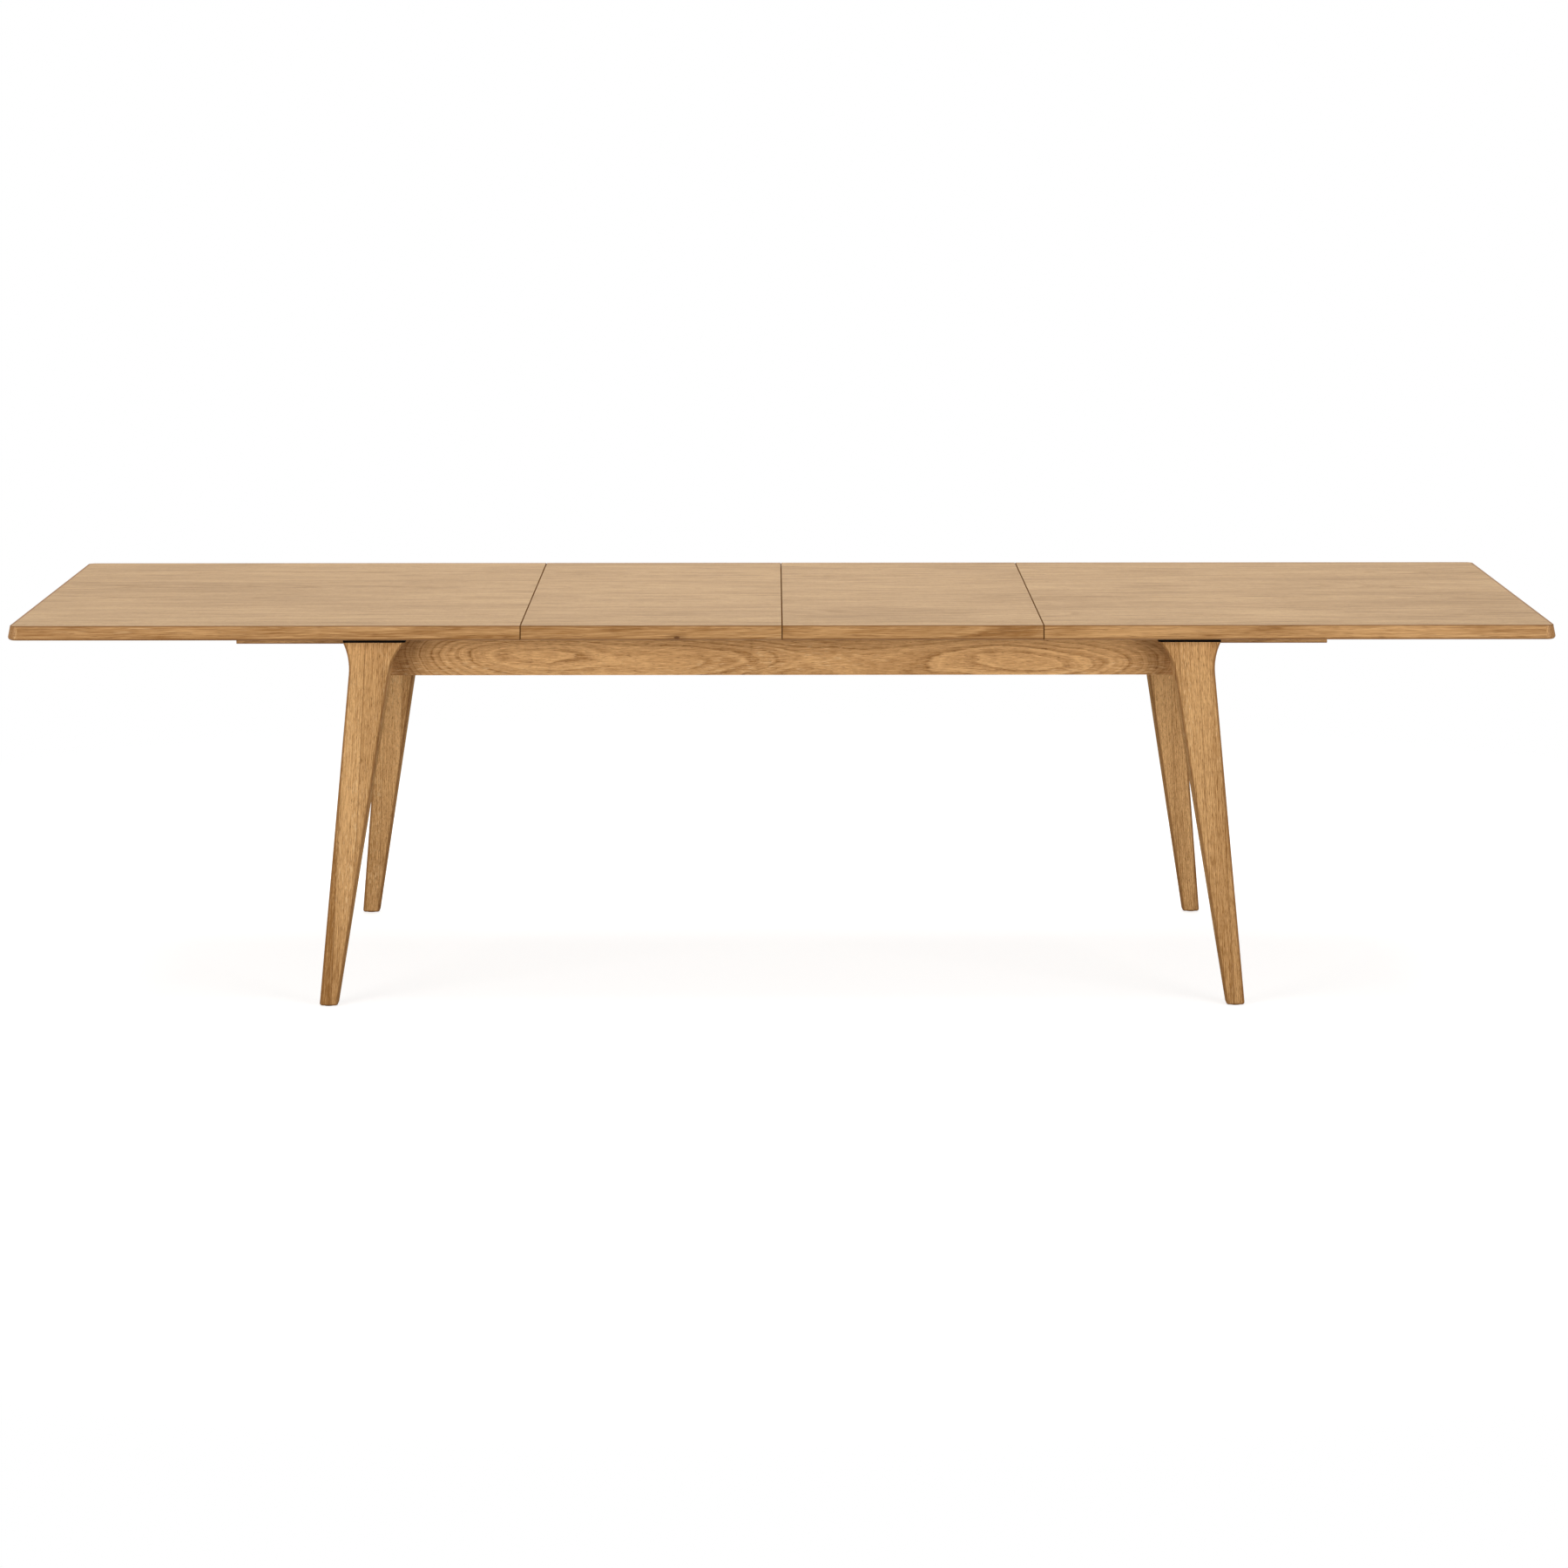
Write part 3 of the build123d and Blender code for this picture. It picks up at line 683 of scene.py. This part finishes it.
def moulded(name, value, rough, shine):
    """Matt moulded plastic with a fine sand texture and faint scuffs."""
    material, tree, shader = new_material(name)
    place = coordinate(tree, "Object")
    sand = noise(tree, place, SAND)
    scuff = fade(tree, noise(tree, place, SCUFFS, 4.0), 0.52, 0.75)
    pale = [c * 1.8 + 0.004 for c in value]
    feed(tree, shader.inputs["Base Color"], tint(tree, opaque(value), scuff, 0.35, pale))
    feed(tree, shader.inputs["Roughness"], fade(tree, sand, 0.3, 0.7, rough - 0.06, rough + 0.08, False))
    shader.inputs["Specular IOR Level"].default_value = shine
    bump(tree, shader, sand, 0.00008, 0.5)
    return material


def woolly(name, value):
    """Pressed, matted short fibres without shine, for the dark strips that stand in for the shade in the seams.
    """
    material, tree, shader = new_material(name)
    mat = noise(tree, coordinate(tree, "Object"), MATTED_FIBRES, 3.0)
    dim = opaque([c * 0.6 for c in value])
    feed(tree, shader.inputs["Base Color"], mix(tree, fade(tree, mat, 0.3, 0.7), dim, opaque(value)))
    feed(tree, shader.inputs["Roughness"], fade(tree, mat, 0.3, 0.7, 0.86, 0.98, False))
    shader.inputs["Specular IOR Level"].default_value = 0.0
    bump(tree, shader, mat, 0.0002, 0.6)
    return material


def plated(name, value):
    """Bright zinc on steel: cloudy tone and fine drawn lines."""
    material, tree, shader = new_material(name)
    place = coordinate(tree, "Object")
    cloud = noise(tree, place, ZINC_CLOUDS, 3.0)
    drawn = noise(tree, place, DRAWN_LINES)
    dim = opaque([c * 0.72 for c in value])
    feed(tree, shader.inputs["Base Color"], mix(tree, fade(tree, cloud, 0.35, 0.7), opaque(value), dim))
    shader.inputs["Metallic"].default_value = 1.0
    feed(tree, shader.inputs["Roughness"], fade(tree, drawn, 0.3, 0.7, 0.24, 0.40, False))
    bump(tree, shader, drawn, 0.00003, 0.3)
    return material


def finish(node, material, ease=0.0):
    """Gives a CAD piece its finish, and eases its sharp edges."""
    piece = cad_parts[node]
    piece.data.materials.clear()
    piece.data.materials.append(material)
    if ease:
        weld = piece.modifiers.new("Close corners", "WELD")
        weld.merge_threshold = 0.00001
        soft = piece.modifiers.new("Eased edges", "BEVEL")
        soft.width = ease
        soft.segments = 2
        soft.limit_method = "ANGLE"
        soft.angle_limit = math.radians(40)
        soft.harden_normals = True


class OAK_TABLE_OT_end_tops(bpy.types.Operator):
    """Finish the two sliding end tops: face veneer, lippings and underside"""

    bl_idname = "oak_table.end_tops"
    bl_label = "End tops"

    def execute(self, context):
        under = board("Backing veneer of end tops")
        for side, sx in SIDES.items():
            face = face_veneer(f"Face veneer {side} top", 0.35 + 2.6 * (sx > 0), 0.0, 3.0 + sx)
            finish(f"top_{side}_veneer", face)
            finish(f"top_{side}_core", under)
            for edge, sy in FACES.items():
                name = f"Oak {edge} lipping {side} top"
                wood = long_lipping(name, 0.9 + sx, sy, (0.16, 0.06, 0.006), 0.005, 0.60 - 0.08 * sx)
                finish(f"top_{side}_lipping_{edge}", wood)
            wood = oak(
                f"Oak end lipping {side} top", ALONG_Y, (2.1 + sx, -EDGE_MIDDLE, -HALF_LENGTH * sx),
                (0.05, 0.02, 0.012), wander=0.008, ring=0.0042, glue=GLUE_LINE,
            )
            finish(f"top_{side}_lipping_end", wood)
        return {"FINISHED"}


class OAK_TABLE_OT_leaves(bpy.types.Operator):
    """Finish the two loose leaves, each with its own stretch of veneer, and their pegs"""

    bl_idname = "oak_table.leaves"
    bl_label = "Leaves"

    def execute(self, context):
        under = board("Backing veneer of leaves")
        peg = beech("Beech pegs", UPRIGHT)
        for side, sx in SIDES.items():
            finish(f"leaf_{side}_veneer", face_veneer(f"Face veneer {side} leaf", 6.4 + 1.3 * sx, 0.02, 9.0))
            finish(f"leaf_{side}_core", under)
            finish(f"leaf_{side}_pegs", peg)
            for edge, sy in FACES.items():
                name = f"Oak {edge} lipping {side} leaf"
                knot = KNOT_PLACE if (edge, side) == ("front", "left") else None
                wood = long_lipping(name, 3.3 + 1.9 * sx, sy, (0.14, 0.05, 0.012), 0.006, 0.69, knot)
                finish(f"leaf_{side}_lipping_{edge}", wood)
        return {"FINISHED"}


class OAK_TABLE_OT_seam_shade_strips(bpy.types.Operator):
    """Lay a thin brown strip in each of the three seams of the top, a dark sheet standing in for the seam's
    shade
    """

    bl_idname = "oak_table.seam_strips"
    bl_label = "Seam strips"

    def execute(self, context):
        settings = context.scene.oak_table_under
        # The strips are dark to stand in for the shade in the seams
        shade_felt = woolly("Dark felt", settings.shade_felt)
        count = len(SHADE_FELT_OUTLINE)
        faces = [tuple(range(count)), tuple(reversed(range(count, 2 * count)))]
        faces += [(i, i + count, (i + 1) % count + count, (i + 1) % count) for i in range(count)]
        for name, (body, middle, sx) in SEAM_SHADE_STRIPS.items():
            fixed = middle + sx * SHADE_FELT_BESIDE
            free = fixed - sx * settings.shade_felt_thick
            points = [(x, y, z) for x in (fixed, free) for y, z in SHADE_FELT_OUTLINE]
            mesh = bpy.data.meshes.new(name)
            mesh.from_pydata(points, [], faces)
            mesh.materials.append(shade_felt)
            shape = bmesh.new()
            shape.from_mesh(mesh)
            bmesh.ops.recalc_face_normals(shape, faces=shape.faces)
            shape.to_mesh(mesh)
            shape.free()
            strip = bpy.data.objects.new(name, mesh)
            context.scene.collection.objects.link(strip)
            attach(strip, body)
        return {"FINISHED"}


class OAK_TABLE_OT_legs(bpy.types.Operator):
    """Finish the four legs, glued from upright staves"""

    bl_idname = "oak_table.legs"
    bl_label = "Legs"

    def execute(self, context):
        settings = context.scene.oak_table_oak
        for count, ((face, side), (seed, shade)) in enumerate(LEG_STAVES.items(), 1):
            sx, sy = SIDES[side], FACES[face]
            along = Vector((-LEG_LEAN[0] * sx, -LEG_LEAN[1] * sy, 1.0)).normalized()
            into = along.cross(Vector((1, 0, 0))).normalized()
            across = into.cross(along).normalized()
            # The legs get painted shade towards the floor
            wood = oak(
                f"Oak staves {face} {side} leg", (along, across, into),
                (1.3 * count, 0.012 * count, -LEG_FACE * sy), (0.03, 0.11, 0.008), wander=0.005, ring=0.0038,
                streaks=8.0, strips=settings.stave, seed=seed, shade=shade, foot=0.26, shine=settings.leg_shine,
            )
            finish(f"leg_{face}_{side}", wood)
        return {"FINISHED"}


class OAK_TABLE_OT_rails(bpy.types.Operator):
    """Finish the oak aprons and end rails"""

    bl_idname = "oak_table.rails"
    bl_label = "Aprons and end rails"

    def execute(self, context):
        for face, sy in FACES.items():
            # The aprons get painted shadow of the legs towards their ends
            wood = oak(
                f"Oak {face} apron", ALONG_X, (0.72, -APRON_MIDDLE, -APRON_FACE * sy), (0.065, -0.014, 0.010),
                wander=0.019, ring=0.0034, streaks=3.5, swirl=0.036, draw=0.7, shade=0.43, ends=0.32,
            )
            finish(f"apron_{face}", wood, 0.0015)
        for side, sx in SIDES.items():
            shift = (3.1 + sx, -APRON_MIDDLE, -END_RAIL_FACE * sx)
            wood = oak(f"Oak {side} end rail", ALONG_Y, shift, (0.06, 0.01, 0.03), wander=0.016)
            finish(f"end_rail_{side}", wood, 0.0012)
        return {"FINISHED"}


class OAK_TABLE_OT_slides(bpy.types.Operator):
    """Finish the runners, guides, bearers, stops and cross rails under the top"""

    bl_idname = "oak_table.slides"
    bl_label = "Slides and cross rails"

    def execute(self, context):
        long_beech = beech("Beech along the table", ALONG_X)
        cross_beech = beech("Beech across the table", ALONG_Y)
        for face, sy in FACES.items():
            finish(f"guide_{face}", long_beech, 0.0008)
            finish(f"bearer_{face}", long_beech, 0.0008)
            for side, sx in SIDES.items():
                shift = (7.0 + sx + 2 * sy, -RUNNER_MIDDLE, -RUNNER_FACE * sy)
                wood = oak(f"Oak {face} {side} runner", ALONG_X, shift, (0.05, 0.02, 0.02), wander=0.008)
                finish(f"runner_{side}_{face}", wood, 0.0010)
        for name in ("left", "middle", "right"):
            finish(f"cross_rail_{name}", cross_beech, 0.0010)
        for side in SIDES:
            finish(f"stops_{side}", long_beech, 0.0010)
        return {"FINISHED"}


class OAK_TABLE_OT_caps(bpy.types.Operator):
    """Finish the black caps on the legs and the foot glides"""

    bl_idname = "oak_table.caps"
    bl_label = "Leg caps and glides"

    def execute(self, context):
        settings = context.scene.oak_table_under
        # The caps are nearly lightless: black plastic with painted shade of the recess
        black = moulded("Matt black cap", settings.black, 0.75, 0.02)
        for face in FACES:
            for side in SIDES:
                finish(f"leg_cap_{face}_{side}", black)
        finish("foot_glides", moulded("Brown nylon", settings.nylon, 0.45, 0.40))
        return {"FINISHED"}


class OAK_TABLE_OT_fasteners(bpy.types.Operator):
    """Finish the plated brackets, bolts and screws"""

    bl_idname = "oak_table.fasteners"
    bl_label = "Brackets and screws"

    def execute(self, context):
        zinc = plated("Bright zinc plate", context.scene.oak_table_under.zinc)
        names = ["leg_bolts", "leg_washers", "leg_nuts", "bracket_screws", "frame_screws"]
        names += [f"runner_screws_{side}" for side in SIDES]
        names += [f"corner_bracket_{face}_{side}" for face in FACES for side in SIDES]
        for name in names:
            finish(name, zinc)
        return {"FINISHED"}


# Stage
def area_light(name, place, size, power, light_tint, mirrored):
    lamp = bpy.data.lights.new(name, "AREA")
    lamp.shape = "RECTANGLE"
    lamp.size, lamp.size_y = size
    lamp.energy = power
    lamp.color = light_tint
    holder = bpy.data.objects.new(name, lamp)
    holder.location = place
    holder.visible_glossy = mirrored
    holder.rotation_euler = (Vector(LIGHT_TARGET) - Vector(place)).to_track_quat("-Z", "Y").to_euler()
    bpy.context.scene.collection.objects.link(holder)


def seen_plainly(tree):
    """One where the camera, a reflection or a see-through surface looks, zero for other light."""
    path = tree.nodes.new("ShaderNodeLightPath")
    first = calc(tree, "MAXIMUM", path.outputs["Is Camera Ray"], path.outputs["Is Glossy Ray"])
    return calc(tree, "MAXIMUM", first, path.outputs["Is Transmission Ray"])


def studio_world(settings):
    """Even light all round, seen as plain white."""
    world = bpy.data.worlds.new("Studio")
    world.use_nodes = True
    tree = world.node_tree
    plain = tree.nodes["Background"]
    plain.inputs["Color"].default_value = opaque(WHITE)
    strength = fade(tree, seen_plainly(tree), 0.0, 1.0, settings.world, 1.0, False)
    feed(tree, plain.inputs["Strength"], strength)
    return world


def blend_shaders(tree, share, first, second):
    node = tree.nodes.new("ShaderNodeMixShader")
    for socket, source in zip(node.inputs, (share, first, second)):
        feed(tree, socket, source)
    return node.outputs[0]


def pale_floor(settings):
    """Pale floor that fades to plain white away from the table, and is clear from below."""
    material, tree, shader = new_material("Pale floor")
    shader.inputs["Base Color"].default_value = opaque(settings.floor)
    shader.inputs["Roughness"].default_value = 0.9
    shader.inputs["Specular IOR Level"].default_value = 0.0
    shader.inputs["Emission Color"].default_value = opaque(WHITE)
    plainly = seen_plainly(tree)
    feed(tree, shader.inputs["Emission Strength"], calc(tree, "MULTIPLY", plainly, settings.floor_lift))
    away = vector(tree, "LENGTH", coordinate(tree, "Object"))
    white = tree.nodes.new("ShaderNodeEmission").outputs[0]
    far = calc(tree, "MULTIPLY", plainly, fade(tree, away, *FLOOR_FADE))
    above = blend_shaders(tree, far, shader.outputs[0], white)
    below = tree.nodes.new("ShaderNodeNewGeometry").outputs["Backfacing"]
    clear = tree.nodes.new("ShaderNodeBsdfTransparent").outputs[0]
    feed(tree, tree.nodes["Material Output"].inputs["Surface"], blend_shaders(tree, below, above, clear))
    return material


class OAK_TABLE_OT_stage(bpy.types.Operator):
    """Lay the floor, light the table and set the camera"""

    bl_idname = "oak_table.stage"
    bl_label = "Stage"

    def execute(self, context):
        scene = context.scene
        settings = scene.oak_table_stage
        scene.view_settings.view_transform = "Standard"
        scene.world = studio_world(settings)
        mesh = bpy.data.meshes.new("Floor")
        corners = [(x * FLOOR_REACH, y * FLOOR_REACH, 0.0) for x, y in ((-1, -1), (1, -1), (1, 1), (-1, 1))]
        mesh.from_pydata(corners, [], [(0, 1, 2, 3)])
        mesh.materials.append(pale_floor(settings))
        floor = bpy.data.objects.new("Floor", mesh)
        scene.collection.objects.link(floor)
        for name, (power, place, size, light_tint, mirrored) in LIGHTS.items():
            area_light(name, place, size, getattr(settings, power), light_tint, mirrored)
        lens = bpy.data.cameras.new("Camera")
        lens.lens = settings.lens
        lens.sensor_width = 36.0
        lens.sensor_fit = "HORIZONTAL"
        lens.clip_end = 100.0
        camera = bpy.data.objects.new("Camera", lens)
        camera.location = settings.eye
        camera.rotation_euler = (math.pi / 2 - settings.pitch, settings.roll, -settings.turn)
        scene.collection.objects.link(camera)
        scene.camera = camera
        return {"FINISHED"}


class OAK_TABLE_PT_panel(bpy.types.Panel):
    """Oak table finishes and stage"""

    bl_idname = "OAK_TABLE_PT_panel"
    bl_label = "Oak table"
    bl_space_type = "VIEW_3D"
    bl_region_type = "UI"
    bl_category = "Oak table"

    def draw(self, context):
        for operator in OPERATORS:
            self.layout.operator(operator.bl_idname)
        scene = context.scene
        for settings in (scene.oak_table_oak, scene.oak_table_under, scene.oak_table_stage):
            box = self.layout.box()
            for name in settings.__annotations__:
                box.prop(settings, name)


OPERATORS = (
    OAK_TABLE_OT_end_tops,
    OAK_TABLE_OT_leaves,
    OAK_TABLE_OT_seam_shade_strips,
    OAK_TABLE_OT_legs,
    OAK_TABLE_OT_rails,
    OAK_TABLE_OT_slides,
    OAK_TABLE_OT_caps,
    OAK_TABLE_OT_fasteners,
    OAK_TABLE_OT_stage,
)
SETTINGS = {"oak_table_oak": OakSettings, "oak_table_under": UnderSettings, "oak_table_stage": StageSettings}


def register():
    for name, settings in SETTINGS.items():
        bpy.utils.register_class(settings)
        setattr(bpy.types.Scene, name, bpy.props.PointerProperty(type=settings))
    for operator in OPERATORS:
        bpy.utils.register_class(operator)
    bpy.utils.register_class(OAK_TABLE_PT_panel)


def unregister():
    bpy.utils.unregister_class(OAK_TABLE_PT_panel)
    for operator in reversed(OPERATORS):
        bpy.utils.unregister_class(operator)
    for name, settings in SETTINGS.items():
        delattr(bpy.types.Scene, name)
        bpy.utils.unregister_class(settings)


def main():
    register()
    grain_place_group()
    glued_strips_group()
    growth_rings_group()
    fine_grain_group()
    rounded_edges_group()
    painted_seam_shade_group()
    bpy.ops.oak_table.end_tops()
    bpy.ops.oak_table.leaves()
    bpy.ops.oak_table.seam_strips()
    bpy.ops.oak_table.legs()
    bpy.ops.oak_table.rails()
    bpy.ops.oak_table.slides()
    bpy.ops.oak_table.caps()
    bpy.ops.oak_table.fasteners()
    bpy.ops.oak_table.stage()


if __name__ == "__main__":
    main()
